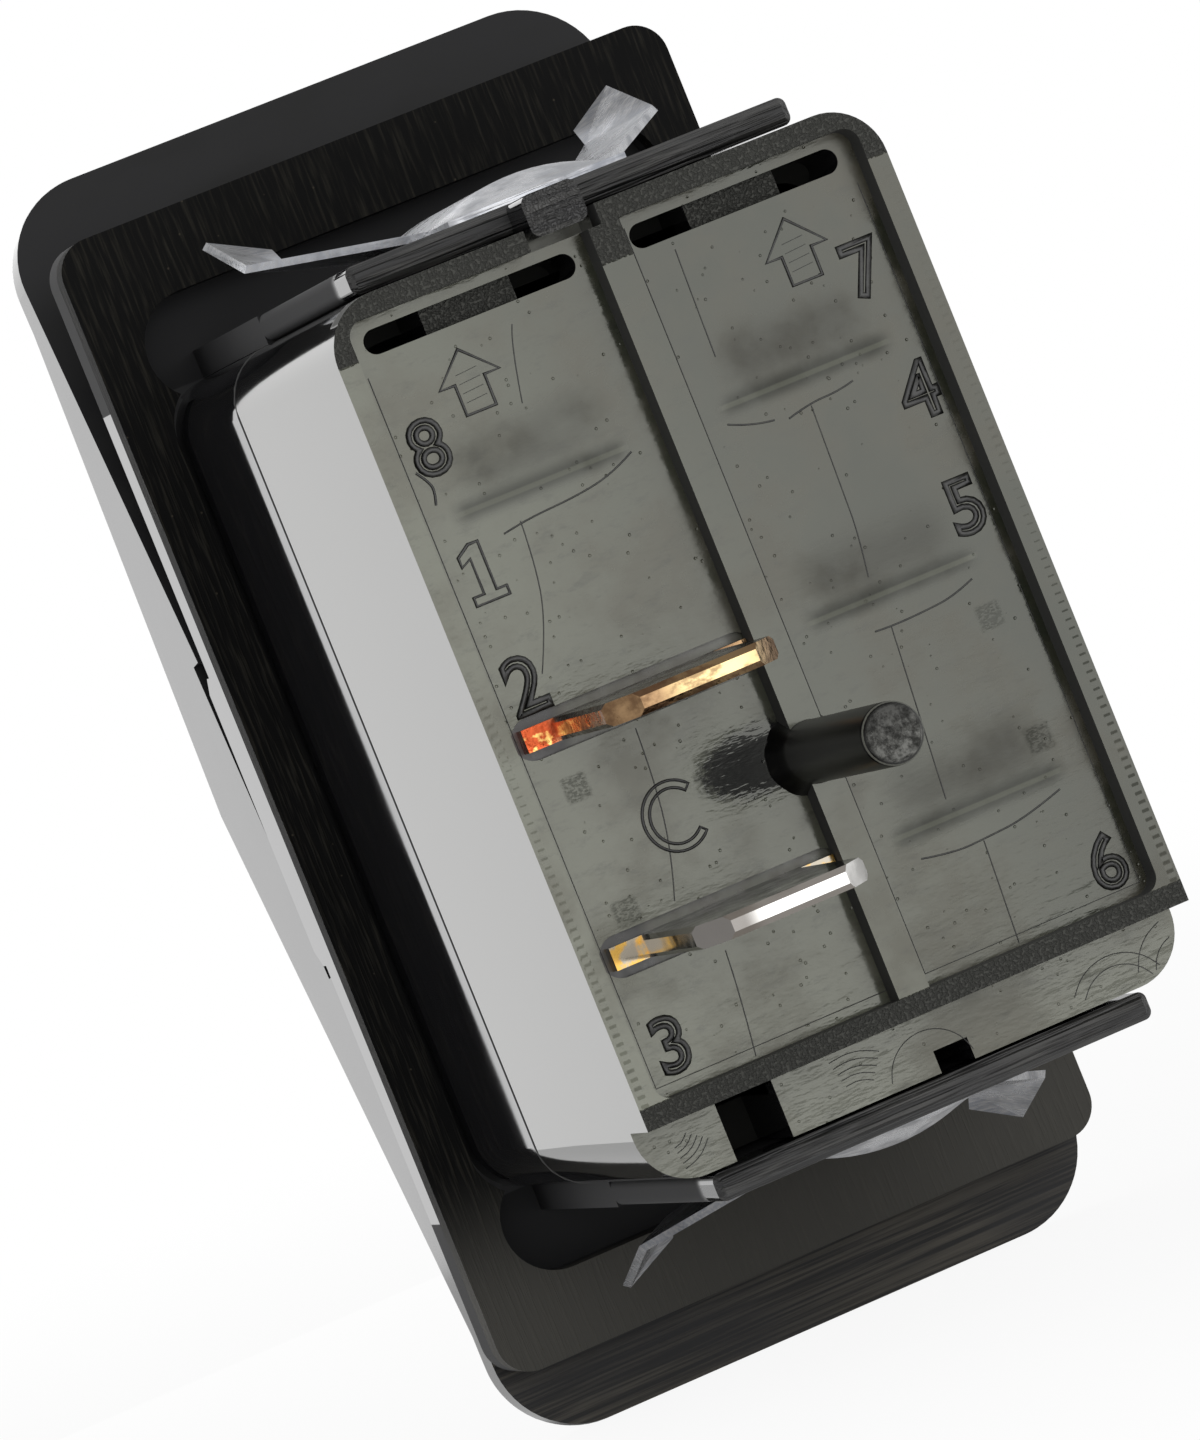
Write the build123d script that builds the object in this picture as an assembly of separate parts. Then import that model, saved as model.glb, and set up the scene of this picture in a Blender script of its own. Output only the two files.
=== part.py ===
from build123d import *
import os
from math import asin, cos, degrees, radians, sin, tan

# Snap-in rocker switch with blade terminals, in millimetres.
# Origin: centre of the face that seats on the panel. +Y runs back to the terminals,
# +Z along the switch to its arrows' end, and the rocker covers the front, on the -Y side.

# How far a cut runs past the face that it opens
overcut = 1.0

# Flange, panel gasket and bracket
flange_side_overhang = 1.95
flange_end_overhang = 6.3
flange_thickness = 1.4
flange_corner = 1.3
gasket_thickness = 1.0
gasket_gap = 0.2
pocket_width = 20.9
pocket_depth = 2.2
pocket_inset = 1.85
pocket_corner = 2.0
pocket_floor = 0.5
arm_width = 16.7
arm_thickness = 1.0
arm_gap = 0.1
arm_back_inset = 2.07
arm_edge_round = 0.3
arm_back_chamfer = 0.25
lug_width = 1.3
lug_length = 11.4
lug_height = 1.0
lug_chamfer_share = 0.6
ear_thickness = 1.3
ear_radius = 2.0
stem_opening_length = 13.0
stem_opening_margin = 0.3
opening_corner = 1.0

# Body: collar in front of the seam, base behind it
body_width = 20.7
body_length = 31.9
body_corner = 2.0
body_wall = 1.6
seam_y = 9.6
base_back = 26.0
seal_width = 0.8
seal_thickness = 0.6

# Rear face of the base
floor_recess = 1.1
floor_thickness = 2.2
rim_side = 0.75
rim_end = 0.75
recess_corner = 0.6
ledge_length = 2.3
ledge_depth = 2.4
rib_x = -0.08
rib_width = 1.16
pole_wall = 0.9
slot_width = 0.88
slot_length = 7.9
slot_rim_gap = 0.4
slot_side_margin = 1.4
slot_depth = 3.6
web_length = 3.4
web_depth = 0.35
keyway_x = 6.17
keyway_width = 2.15
keyway_depth = 4.6
edge_notch_x = -1.25
edge_notch_width = 1.3
edge_notch_length = 0.8
key_tab_x = 1.3
key_tab_width = 2.1
key_tab_depth = 2.4
key_tab_round = 0.35
key_side_gap = 0.27
key_seat_gap = 0.35
peg_radius = 1.07
peg_z = -4.0
peg_length = 9.8
peg_tip_chamfer = 0.25
peg_foot_step = 0.35
pole_wall_front = 12.0
barb_width = 5.2
barb_length = 2.0
barb_height = 0.85
barb_front = 15.2
barb_clearance = 0.35

# Terminals, contacts and contact arm
column_shift = 0.2
terminal_2_z = 0.0
terminal_pitch = 7.9
blade_width = 6.35
blade_thickness = 0.81
blade_length = 8.2
blade_chamfer_width = 1.05
blade_chamfer_length = 1.3
blade_edge_chamfer = 0.16
shoulder_width = 8.5
shoulder_height = 0.4
terminal_slot_length = 9.2
terminal_slot_width = 1.5
potting_thickness = 0.5
potting_drop = 0.25
blade_clearance = 0.03
inner_margin = 2.3
cradle_y = 17.82
cradle_clearance = 0.05
cradle_lip_width = 0.75
cradle_lip_height = 1.1
arm_plate_margin = 3.1
arm_plate_thickness = 0.9
arm_hub_thickness = 1.2
arm_hub_length = 4.4
arm_hub_slope = 0.6
arm_plate_corner = 0.8
arm_reach_open = 8.2
arm_reach_contact = 11.2
arm_turn = 12.0
contact_radius = 1.7
contact_thickness = 0.79
contact_dome = 0.35
contact_crown_radius = 0.3
contact_reach = 9.5
contact_gap = 0.12
foot_reach = 3.6
stop_length = 2.0
stop_gap = 0.3

# Rocker, actuator and plunger
pivot_y = -4.4
rocker_turn = 13.0
rocker_side_inset = 0.2
rocker_length = 50.4
rocker_corner = 3.4
rocker_wall = 1.6
rocker_rim = 3.5
rocker_seat_gap = 0.3
ridge_forward = 6.8
ridge_z = 1.3
front_slope = 10.8
nose_start = 4.7
nose_thickness = 1.1
nose_bow = 0.28
rocker_edge_round = 0.7
lug_notch_gap = 0.6
pivot_radius = 0.95
pivot_clearance = 0.05
pivot_stud_length = 1.25
tab_gap = 0.2
tab_thickness = 1.1
tab_root = 0.3
tab_radius = 1.65
actuator_side_gap = 0.6
actuator_length = 9.2
actuator_back = 1.8
stem_radius = 2.4
stem_back = 14.2
plunger_radius = 1.5
plunger_clearance = 0.05
plunger_reach = 20.9
plunger_length = 10.0
nose_tip_radius = 0.3
spring_front = 1.6
spring_radius = 1.15
spring_wire = 0.45
spring_turns = 4

# Spring clips
clip_thickness = 0.3
clip_root_x = 3.4
clip_root_front = 9.0
clip_root_back = 17.6
clip_bow = 0.8
clip_lead_in = 2.6
wing_root_front = 11.0
fold_inner = (6.06, 6.8, 1.2)
fold_outer = (8.12, 9.7, 1.53)
lip_inner = (6.14, 5.9, 1.88)
lip_outer = (8.13, 5.2, 3.0)

# Sizes that follow from those above
body_half = body_width / 2
body_end = body_length / 2
flange_width = body_width + 2 * flange_side_overhang
flange_length = body_length + 2 * flange_end_overhang
rocker_width = flange_width - 2 * rocker_side_inset
flange_back = -gasket_thickness
flange_front = flange_back - flange_thickness
arm_back = base_back - arm_back_inset
arm_inner = body_end + arm_gap
arm_outer = arm_inner + arm_thickness
floor_y = base_back - floor_recess
inner_floor_y = floor_y - floor_thickness
ledge_y = base_back - ledge_depth
ledge_z = -body_end + ledge_length
terminal_3_z = terminal_2_z - terminal_pitch
rest_tilt = rocker_turn / 2
ear_outer = rocker_width / 2 - rocker_wall - tab_thickness - tab_gap
ear_inner = ear_outer - ear_thickness
stem_opening_width = 2 * (ear_inner - stem_opening_margin)
actuator_width = stem_opening_width - 2 * actuator_side_gap
pole_width = body_half - body_wall - pole_wall / 2
column_x = pole_wall / 2 + pole_width / 2 + column_shift
inner_width = pole_width - inner_margin
arm_plate_width = pole_width - arm_plate_margin
stud_end = ear_outer + pivot_stud_length
arm_front_y = cradle_y - arm_hub_thickness
half_turn = radians(arm_turn / 2)
contact_back = arm_plate_thickness + contact_thickness - arm_hub_thickness
fixed_contact_y = cradle_y + contact_back * cos(half_turn) + contact_reach * sin(half_turn) + contact_gap
foot_y = fixed_contact_y + contact_thickness


def block(x0, x1, y0, y1, z0, z1):
    """A box between two corners."""
    centre = Location(((x0 + x1) / 2, (y0 + y1) / 2, (z0 + z1) / 2))
    return centre * Box(x1 - x0, y1 - y0, z1 - z0)


def plan_prism(width, length, corner, y0, y1):
    """A rounded rectangle across X and Z, extruded from y0 back to y1."""
    plane = Plane(origin=(0, y0, 0), x_dir=(1, 0, 0), z_dir=(0, 1, 0))
    return extrude(plane * RectangleRounded(width, length, corner), y1 - y0)


def side_prism(outline, x0, x1):
    """An outline given as wire in Y and Z, extruded across X."""
    return extrude(make_face(outline), x1 - x0, dir=(1, 0, 0)).moved(Location((x0, 0, 0)))


def front_prism(points, z0, z1):
    """A polygon in X and Y, extruded along Z."""
    return extrude(make_face(Polyline(points, close=True)), z1 - z0).moved(Location((0, 0, z0)))


def cylinder_x(radius, x0, x1, y, z):
    """A cylinder that lies along X."""
    return Location(((x0 + x1) / 2, y, z)) * Rotation(0, 90, 0) * Cylinder(radius, x1 - x0)


def cylinder_y(radius, y0, y1, x, z):
    """A cylinder that lies along Y."""
    return Location((x, (y0 + y1) / 2, z)) * Rotation(90, 0, 0) * Cylinder(radius, y1 - y0)


def stadium_y(length, width, y0, y1, x, z):
    """A slot shape that is long in X, extruded along Y."""
    plane = Plane(origin=(x, y0, z), x_dir=(1, 0, 0), z_dir=(0, 1, 0))
    return extrude(plane * SlotOverall(length, width), y1 - y0)


def turned(solid, y, z, angle):
    """A solid turned about the line along X through y and z."""
    return solid.rotate(Axis((0, y, z), (1, 0, 0)), angle)


def bracket():
    """Front moulding: flange, collar, two end walls that hold the base, lugs and pivot ears."""
    part = plan_prism(flange_width, flange_length, flange_corner, flange_front, flange_back)
    for side in (-1, 1):
        part -= clip_pocket(side, flange_front + pocket_floor, flange_back)
    part += plan_prism(body_width, body_length, body_corner, flange_front, seam_y)
    for side in (-1, 1):
        low, high = sorted((side * (body_end - body_wall), side * arm_outer))
        part += block(-arm_width / 2, arm_width / 2, flange_front, seam_y, low, high)
        low, high = sorted((side * arm_inner, side * arm_outer))
        wall = block(-arm_width / 2, arm_width / 2, seam_y, arm_back, low, high)
        wall = fillet(wall.edges().filter_by(Axis.Y), arm_edge_round)
        back_edges = wall.edges().filter_by(Axis.X).group_by(Axis.Y)[-1]
        wall = chamfer(back_edges.sort_by(lambda e: side * e.center().Z)[-1], arm_back_chamfer)
        window_half = barb_width / 2 + barb_clearance
        window_front = barb_front - barb_clearance
        window_back = barb_front + barb_length + barb_clearance
        part += wall - block(-window_half, window_half, window_front, window_back, low, high)
    part += key_tab()
    inner_corner = body_corner - body_wall / 2
    hollow_width = body_width - 2 * body_wall
    hollow_length = body_length - 2 * body_wall
    part -= plan_prism(hollow_width, hollow_length, inner_corner, flange_back, seam_y)
    part -= plan_prism(
        stem_opening_width,
        stem_opening_length,
        opening_corner,
        flange_front,
        flange_back,
    )
    for side in (-1, 1):
        low, high = sorted((side * (flange_width / 2 - lug_width), side * flange_width / 2))
        half = lug_length / 2
        lug = block(low, high, flange_front - lug_height, flange_back, -half, half)
        front_edges = lug.edges().filter_by(Axis.X).group_by(Axis.Y)[0]
        part += chamfer(front_edges, lug_height * lug_chamfer_share)
        low, high = sorted((side * ear_inner, side * ear_outer))
        part += block(low, high, pivot_y, flange_front, -ear_radius, ear_radius)
        part += cylinder_x(ear_radius, low, high, pivot_y, 0)
        low, high = sorted((side * ear_outer, side * stud_end))
        part += cylinder_x(pivot_radius, low, high, pivot_y, 0)
    return part


def clip_pocket(side, y0, y1):
    """Room with round corners in which the clip's lips spread, at one end of the body."""
    low = arm_outer - pocket_inset
    high = arm_outer + pocket_depth
    pocket = plan_prism(pocket_width, high - low, pocket_corner, y0, y1)
    return pocket.moved(Location((0, 0, side * (low + high) / 2)))


def key_tab():
    """Round-cornered key on the back of the +Z end wall, in a notch of the base's rim."""
    low = body_end - rim_end + key_seat_gap
    half = key_tab_width / 2
    front = base_back - key_tab_depth
    part = block(key_tab_x - half, key_tab_x + half, front, base_back, low, arm_outer)
    return fillet(part.edges().filter_by(Axis.Y), key_tab_round)


def panel_gasket():
    """Die-cut sheet behind the flange, open round the body and behind the clips."""
    part = plan_prism(flange_width, flange_length, flange_corner, flange_back, 0)
    open_width = body_width + 2 * gasket_gap
    open_length = body_length + 2 * gasket_gap
    part -= plan_prism(open_width, open_length, body_corner, flange_back, 0)
    for side in (-1, 1):
        part -= clip_pocket(side, flange_back, 0)
    return part


def base():
    """Rear moulding: walls, floor, rim, rib, ledge, key features, slots and terminal seats."""
    part = plan_prism(body_width, body_length, body_corner, seam_y, base_back)
    far = body_end + overcut
    part -= block(-body_half, body_half, ledge_y, base_back, -far, ledge_z)
    inner_top = body_end - rim_end
    inner_bottom = ledge_z + rim_end
    recess_length = inner_top - inner_bottom
    recess = plan_prism(body_width - 2 * rim_side, recess_length, recess_corner, floor_y, base_back)
    part -= recess.moved(Location((0, 0, (inner_top + inner_bottom) / 2)))
    rib_low = rib_x - rib_width / 2
    rib_high = rib_x + rib_width / 2
    part += block(rib_low, rib_high, floor_y, base_back, inner_bottom, inner_top)
    hollow_width = body_width - 2 * body_wall
    hollow_length = body_length - 2 * body_wall
    part -= plan_prism(hollow_width, hollow_length, body_corner - body_wall / 2, seam_y, inner_floor_y)
    hollow_end = hollow_length / 2
    part += block(-pole_wall / 2, pole_wall / 2, pole_wall_front, inner_floor_y, -hollow_end, hollow_end)
    part -= seal_ring()
    for side in (-1, 1):
        part = part - rear_slot(side)
        part += end_barb(side)
    notch_half = key_tab_width / 2 + key_side_gap
    part -= block(
        key_tab_x - notch_half,
        key_tab_x + notch_half,
        base_back - key_tab_depth - key_side_gap,
        base_back,
        inner_top,
        far,
    )
    key_low = -far
    part -= block(
        keyway_x - keyway_width / 2,
        keyway_x + keyway_width / 2,
        ledge_y - keyway_depth,
        ledge_y,
        key_low,
        ledge_z - arm_gap,
    )
    part -= block(
        edge_notch_x - edge_notch_width / 2,
        edge_notch_x + edge_notch_width / 2,
        ledge_y - keyway_depth,
        ledge_y,
        key_low,
        -body_end + edge_notch_length,
    )
    keyway_inner = -body_end + ledge_length - arm_gap + body_wall / 2
    part += block(
        keyway_x - keyway_width / 2 - body_wall / 2,
        keyway_x + keyway_width / 2 + body_wall / 2,
        ledge_y - keyway_depth - body_wall / 2,
        inner_floor_y,
        ledge_z - arm_gap,
        keyway_inner,
    )
    for z in (terminal_2_z, terminal_3_z):
        part -= stadium_y(
            terminal_slot_length,
            terminal_slot_width,
            floor_y - potting_drop - potting_thickness,
            floor_y,
            column_x,
            z,
        )
        half = shoulder_width / 2 + blade_clearance
        thick = blade_thickness / 2 + blade_clearance
        part -= block(column_x - half, column_x + half, inner_floor_y, floor_y, z - thick, z + thick)
    peg = cylinder_y(peg_radius, base_back, base_back + peg_length, 0, peg_z)
    part += chamfer(peg.edges().group_by(Axis.Y)[-1], peg_tip_chamfer)
    foot_radius = peg_radius + peg_foot_step
    foot = turned_profile([(0, floor_y), (foot_radius, floor_y), (peg_radius, base_back), (0, base_back)])
    part += foot.moved(Location((0, 0, peg_z)))
    arm_back_y = cradle_y - arm_hub_thickness + arm_plate_thickness
    stop_drop = (arm_back_y - cradle_y) * cos(half_turn) + arm_reach_open * sin(half_turn)
    part += block(
        column_x - stop_length,
        column_x + stop_length,
        cradle_y + stop_drop + stop_gap,
        inner_floor_y,
        arm_reach_open - stop_length,
        arm_reach_open,
    )
    return part


def rear_slot(side):
    """One slot near the arrows' end, deep at both ends and shallow over its middle web."""
    z = body_end - rim_end - slot_rim_gap - slot_width / 2
    x = side * (body_half - slot_side_margin - slot_length / 2)
    deep = stadium_y(slot_length, slot_width, floor_y - slot_depth, floor_y, x, z)
    half = web_length / 2
    web = block(
        x - half,
        x + half,
        floor_y - slot_depth,
        floor_y - web_depth,
        z - slot_width,
        z + slot_width,
    )
    return deep - web


def end_barb(side):
    """Ramp on the base's end that snaps into the window of the end wall."""
    inner = side * (body_end - 0.2)
    outer = side * (body_end + barb_height)
    back = barb_front + barb_length
    outline = Polyline([(0, barb_front, outer), (0, barb_front, inner), (0, back, inner)], close=True)
    return side_prism(outline, -barb_width / 2, barb_width / 2)


def seal_ring():
    """Rubber ring let into the front edge of the base, under the collar."""
    inset = body_wall - seal_width
    outer = plan_prism(
        body_width - inset,
        body_length - inset,
        body_corner - inset / 2,
        seam_y,
        seam_y + seal_thickness,
    )
    shrink = inset + 2 * seal_width
    inner = plan_prism(
        body_width - shrink,
        body_length - shrink,
        body_corner - inset / 2 - seal_width / 2,
        seam_y,
        seam_y + seal_thickness,
    )
    return outer - inner


def blade(z):
    """Blade outside the floor, with chamfered tip, and the wide shoulder that sits in the floor."""
    root = floor_y + shoulder_height
    tip = root + blade_length
    half = blade_width / 2
    tip_half = half - blade_chamfer_width
    points = [
        (column_x - half, root),
        (column_x + half, root),
        (column_x + half, tip - blade_chamfer_length),
        (column_x + tip_half, tip),
        (column_x - tip_half, tip),
        (column_x - half, tip - blade_chamfer_length),
    ]
    thick = blade_thickness / 2
    part = front_prism(points, z - thick, z + thick)
    ends = part.edges().filter_by(Axis.X).group_by(Axis.Y)[-1]
    part = chamfer(ends, thick / 2)
    sides = part.edges().filter_by(Axis.Y)
    part = chamfer(sides, blade_edge_chamfer)
    low = column_x - shoulder_width / 2
    high = column_x + shoulder_width / 2
    return part + block(low, high, inner_floor_y, root, z - thick, z + thick)


def terminal_2():
    """Common terminal: blade, shoulder and the cradle on which the contact arm rocks."""
    thick = blade_thickness / 2
    low = column_x - inner_width / 2
    high = column_x + inner_width / 2
    front = cradle_y - thick
    stem = block(low, high, front, inner_floor_y, terminal_2_z - thick, terminal_2_z + thick)
    top = stem.edges().filter_by(Axis.X).group_by(Axis.Y)[0]
    part = blade(terminal_2_z) + fillet(top, thick * 0.98)
    lip_inner = arm_plate_width / 2 + 3 * cradle_clearance
    for side in (-1, 1):
        a, b = sorted((side * lip_inner, side * (lip_inner + cradle_lip_width)))
        part += block(
            column_x + a,
            column_x + b,
            cradle_y - cradle_lip_height,
            inner_floor_y,
            terminal_2_z - thick,
            terminal_2_z + thick,
        )
    return part


def terminal_3():
    """Switched terminal: blade, shoulder, riser and the foot that carries the fixed contact."""
    thick = blade_thickness / 2
    low = column_x - inner_width / 2
    high = column_x + inner_width / 2
    part = blade(terminal_3_z)
    part += block(low, high, foot_y, inner_floor_y, terminal_3_z - thick, terminal_3_z + thick)
    foot = block(
        low,
        high,
        foot_y,
        foot_y + blade_thickness,
        terminal_3_z - thick - foot_reach,
        terminal_3_z + thick,
    )
    return part + foot


def terminal_seal(z):
    """Potting that fills the slot round a terminal, just below the floor."""
    back = floor_y - potting_drop
    front = back - potting_thickness
    part = stadium_y(terminal_slot_length, terminal_slot_width, front, back, column_x, z)
    half = shoulder_width / 2
    thick = blade_thickness / 2
    return part - block(column_x - half, column_x + half, front, back, z - thick, z + thick)


def turned_profile(points):
    """A solid of revolution about the Y axis from its half profile in radius and Y."""
    return revolve(make_face(Polyline(points, close=True)), Axis.Y)


def contact_button(y_flat, y_crown):
    """Round contact on the Y axis with a coned face, its crown at y_crown."""
    toward = 1 if y_crown > y_flat else -1
    shoulder = y_crown - toward * contact_dome
    return turned_profile(
        [
            (0, y_flat),
            (contact_radius, y_flat),
            (contact_radius, shoulder),
            (contact_crown_radius, y_crown),
            (0, y_crown),
        ]
    )


def fixed_contact():
    """Contact riveted to the foot of terminal 3."""
    button = contact_button(foot_y, fixed_contact_y)
    return button.moved(Location((column_x, 0, terminal_2_z - contact_reach)))


def contact_arm():
    """Rocking contact arm with a hub grooved to sit astride the cradle, drawn in the open pose."""
    front = arm_front_y
    back = front + arm_plate_thickness
    half_hub = arm_hub_length / 2
    outline = Polyline(
        [
            (0, front, -arm_reach_contact),
            (0, front, arm_reach_open),
            (0, back, arm_reach_open),
            (0, back, half_hub),
            (0, cradle_y, half_hub - arm_hub_slope),
            (0, cradle_y, -half_hub + arm_hub_slope),
            (0, back, -half_hub),
            (0, back, -arm_reach_contact),
        ],
        close=True,
    )
    x0 = column_x - arm_plate_width / 2
    x1 = column_x + arm_plate_width / 2
    part = side_prism(outline, x0, x1)
    part = fillet(part.edges().filter_by(Axis.Y), arm_plate_corner)
    groove = blade_thickness / 2 + cradle_clearance
    part -= cylinder_x(groove, x0 - overcut, x1 + overcut, cradle_y, terminal_2_z)
    return turned(part, cradle_y, terminal_2_z, -arm_turn / 2)


def moving_contact():
    """Domed contact on the back of the arm's switching end."""
    back = arm_front_y + arm_plate_thickness
    button = contact_button(back, back + contact_thickness)
    button = button.moved(Location((column_x, 0, terminal_2_z - contact_reach)))
    return turned(button, cradle_y, terminal_2_z, -arm_turn / 2)


def rocker_outline():
    """Side view of the rocker about its pivot, level: two flats to a ridge, V-shaped back edge."""
    seat = (-pivot_y + flange_front) - rocker_seat_gap
    slope = tan(radians(rest_tilt))
    end = rocker_length / 2

    def rear(z):
        return pivot_y + seat / cos(radians(rest_tilt)) - abs(z) * slope

    def front(z):
        return pivot_y - ridge_forward + abs(z - ridge_z) * tan(radians(front_slope))

    start = end - nose_start
    lines = [Line((0, rear(0), 0), (0, rear(end), end))]
    for side in (1, -1):
        nose = rear(side * end) - nose_thickness
        middle = (front(side * start) + nose) / 2 - nose_bow
        arc = ThreePointArc(
            (0, front(side * start), side * start),
            (0, middle, side * (start + end) / 2),
            (0, nose, side * end),
        )
        lines.append(Line((0, rear(side * end), side * end), (0, nose, side * end)))
        lines.append(arc)
        lines.append(Line((0, front(side * start), side * start), (0, front(ridge_z), ridge_z)))
    lines.append(Line((0, rear(-end), -end), (0, rear(0), 0)))
    return lines


def inner_front(z):
    """Depth of the rocker's inner front surface at a place along it, level."""
    slope = tan(radians(front_slope))
    return pivot_y - ridge_forward + rocker_wall / cos(radians(front_slope)) + abs(z - ridge_z) * slope


def rocker():
    """Rocker cap: hollow shell with solid end rims, lug notches and pivot tabs."""
    half = rocker_width / 2
    part = side_prism(rocker_outline(), -half, half)
    deep = rocker_length / 2
    part &= plan_prism(rocker_width, rocker_length, rocker_corner, -deep, deep)
    front_faces = part.faces().filter_by(lambda f: f.normal_at().Y < -0.9)
    front_edges = [e for f in front_faces for e in f.edges() if abs(e.center().X) > half - 0.1]
    part = fillet(front_edges, rocker_edge_round)
    hollow_half = half - rocker_wall
    hollow_end = rocker_length / 2 - rocker_rim
    outline = Polyline(
        [
            (0, deep, -hollow_end),
            (0, inner_front(-hollow_end), -hollow_end),
            (0, inner_front(ridge_z), ridge_z),
            (0, inner_front(hollow_end), hollow_end),
            (0, deep, hollow_end),
        ],
        close=True,
    )
    part -= side_prism(outline, -hollow_half, hollow_half)
    notch = lug_length / 2 + lug_notch_gap
    part -= block(-half - overcut, half + overcut, pivot_y, deep, -notch, notch)
    for side in (-1, 1):
        low, high = sorted((side * (ear_outer + tab_gap), side * (hollow_half + tab_root)))
        root = inner_front(0) - tab_root
        part += block(low, high, root, pivot_y, -tab_radius, tab_radius)
        part += cylinder_x(tab_radius, low, high, pivot_y, 0)
        reach = sorted((side * ear_outer, side * (stud_end + 2 * pivot_clearance)))
        part -= cylinder_x(pivot_radius + pivot_clearance, *reach, pivot_y, 0)
    return turned(part, pivot_y, 0, rest_tilt)


def actuator():
    """Inner block under the rocker's ridge, with the hollow stem that guides the plunger."""
    half = actuator_length / 2
    back = pivot_y + actuator_back
    outline = Polyline(
        [
            (0, back, -half),
            (0, inner_front(-half), -half),
            (0, inner_front(ridge_z), ridge_z),
            (0, inner_front(half), half),
            (0, back, half),
        ],
        close=True,
    )
    part = side_prism(outline, -actuator_width / 2, actuator_width / 2)
    part += cylinder_y(stem_radius, back - 1, pivot_y + stem_back, column_x, 0)
    bore = plunger_radius + plunger_clearance
    part -= cylinder_y(bore, pivot_y + spring_front, pivot_y + stem_back, column_x, 0)
    return turned(part, pivot_y, 0, rest_tilt)


def plunger():
    """Blunt-nosed plunger that slides in the stem and drives the contact arm."""
    tip = pivot_y + plunger_reach
    part = turned_profile(
        [
            (0, tip - plunger_length),
            (plunger_radius, tip - plunger_length),
            (plunger_radius, tip - plunger_radius),
            (plunger_radius * cos(radians(30)), tip - plunger_radius / 2),
            (nose_tip_radius, tip),
            (0, tip),
        ]
    )
    return turned(part.moved(Location((column_x, 0, 0))), pivot_y, 0, rest_tilt)


def plunger_spring():
    """Coil spring between the bottom of the stem's bore and the plunger."""
    start = pivot_y + spring_front + spring_wire / 2
    end = pivot_y + plunger_reach - plunger_length - spring_wire / 2
    height = end - start
    path = Helix(height / spring_turns, height, spring_radius)
    section = Plane(origin=path @ 0, z_dir=path % 0) * Rectangle(spring_wire, spring_wire)
    coil = sweep(section, path=path, is_frenet=True)
    coil = Location((column_x, start, 0)) * Rotation(-90, 0, 0) * coil
    return turned(coil, pivot_y, 0, rest_tilt)


def sheet_facing(a, b, c):
    """Unit vector square to the sheet through three points, on its outer side."""
    across = (b - a).cross(c - a).normalized()
    return across if across.Z > 0 else -across


def strip_section(a, b, facing):
    """Corners of a section between two points, as thick as the clip in the given direction."""
    shift = facing.normalized() * (clip_thickness / 2)
    return [a - shift, a + shift, b + shift, b - shift]


def folded_strip(start, end):
    """Sheet between two sections, with a fold from the front of one to the back of the other."""
    outlines = [
        start,
        end,
        (start[0], start[1], end[1]),
        (start[0], end[1], end[0]),
        (start[1], start[2], end[2]),
        (start[1], end[2], end[1]),
        (start[2], start[3], end[3]),
        (start[2], end[3], end[2]),
        (start[3], start[0], end[3]),
        (start[0], end[0], end[3]),
    ]
    return Solid(Shell([make_face(Polyline(outline, close=True)).face() for outline in outlines]))


def clip():
    """Leaf spring for the +Z end: bowed middle on the end wall, wings and bent lips."""
    seat = arm_outer + clip_thickness / 2
    bow = ThreePointArc((-clip_root_x, 0, seat), (0, 0, seat + clip_bow), (clip_root_x, 0, seat))
    inner = offset_bow(bow, -clip_thickness / 2)
    outer = offset_bow(bow, clip_thickness / 2)
    sides = [Line(inner @ 0, outer @ 0), Line(inner @ 1, outer @ 1)]
    middle = extrude(make_face([inner, outer] + sides), clip_root_back - clip_root_front, dir=(0, 1, 0))
    part = middle.moved(Location((0, clip_root_front, 0)))
    bowed = make_face([inner, outer] + sides).moved(Location((0, clip_root_back, 0)))
    rear_half = clip_thickness / 2
    flat = make_face(
        Polyline(
            (-clip_root_x, clip_root_back + clip_lead_in, seat - rear_half),
            (-clip_root_x, clip_root_back + clip_lead_in, seat + rear_half),
            (clip_root_x, clip_root_back + clip_lead_in, seat + rear_half),
            (clip_root_x, clip_root_back + clip_lead_in, seat - rear_half),
            close=True,
        )
    )
    part += loft([bowed, flat], ruled=True)
    for side in (-1, 1):
        corners = [
            Vector(side * x, y, seat + rise)
            for x, y, rise in (
                (clip_root_x, wing_root_front, 0),
                (clip_root_x, clip_root_back, 0),
                fold_inner,
                fold_outer,
                lip_inner,
                lip_outer,
            )
        ]
        root_front, root_back, fold_front, fold_back, lip_front, lip_back = corners
        lip_facing = sheet_facing(fold_front, fold_back, lip_front)
        fold_facing = sheet_facing(root_front, fold_back, fold_front) + lip_facing
        fold = strip_section(fold_front, fold_back, fold_facing)
        part += folded_strip(strip_section(root_front, root_back, Vector(0, 0, 1)), fold)
        part += folded_strip(fold, strip_section(lip_front, lip_back, lip_facing))
    return part


def offset_bow(bow, distance):
    """The clip's bowed line moved in or out by a distance, ends at the same X."""
    shift = Vector(0, 0, distance)
    return ThreePointArc(bow @ 0 + shift, bow @ 0.5 + shift, bow @ 1 + shift)


parts = {
    "bracket": bracket(),
    "panel_gasket": panel_gasket(),
    "base": base(),
    "base_seal": seal_ring(),
    "clip_top": clip(),
    "clip_bottom": clip().mirror(Plane.XY),
    "terminal_2": terminal_2(),
    "terminal_3": terminal_3(),
    "terminal_seal_2": terminal_seal(terminal_2_z),
    "terminal_seal_3": terminal_seal(terminal_3_z),
    "fixed_contact": fixed_contact(),
    "contact_arm": contact_arm(),
    "moving_contact": moving_contact(),
    "rocker": rocker(),
    "actuator": actuator(),
    "plunger": plunger(),
    "plunger_spring": plunger_spring(),
}

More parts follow.
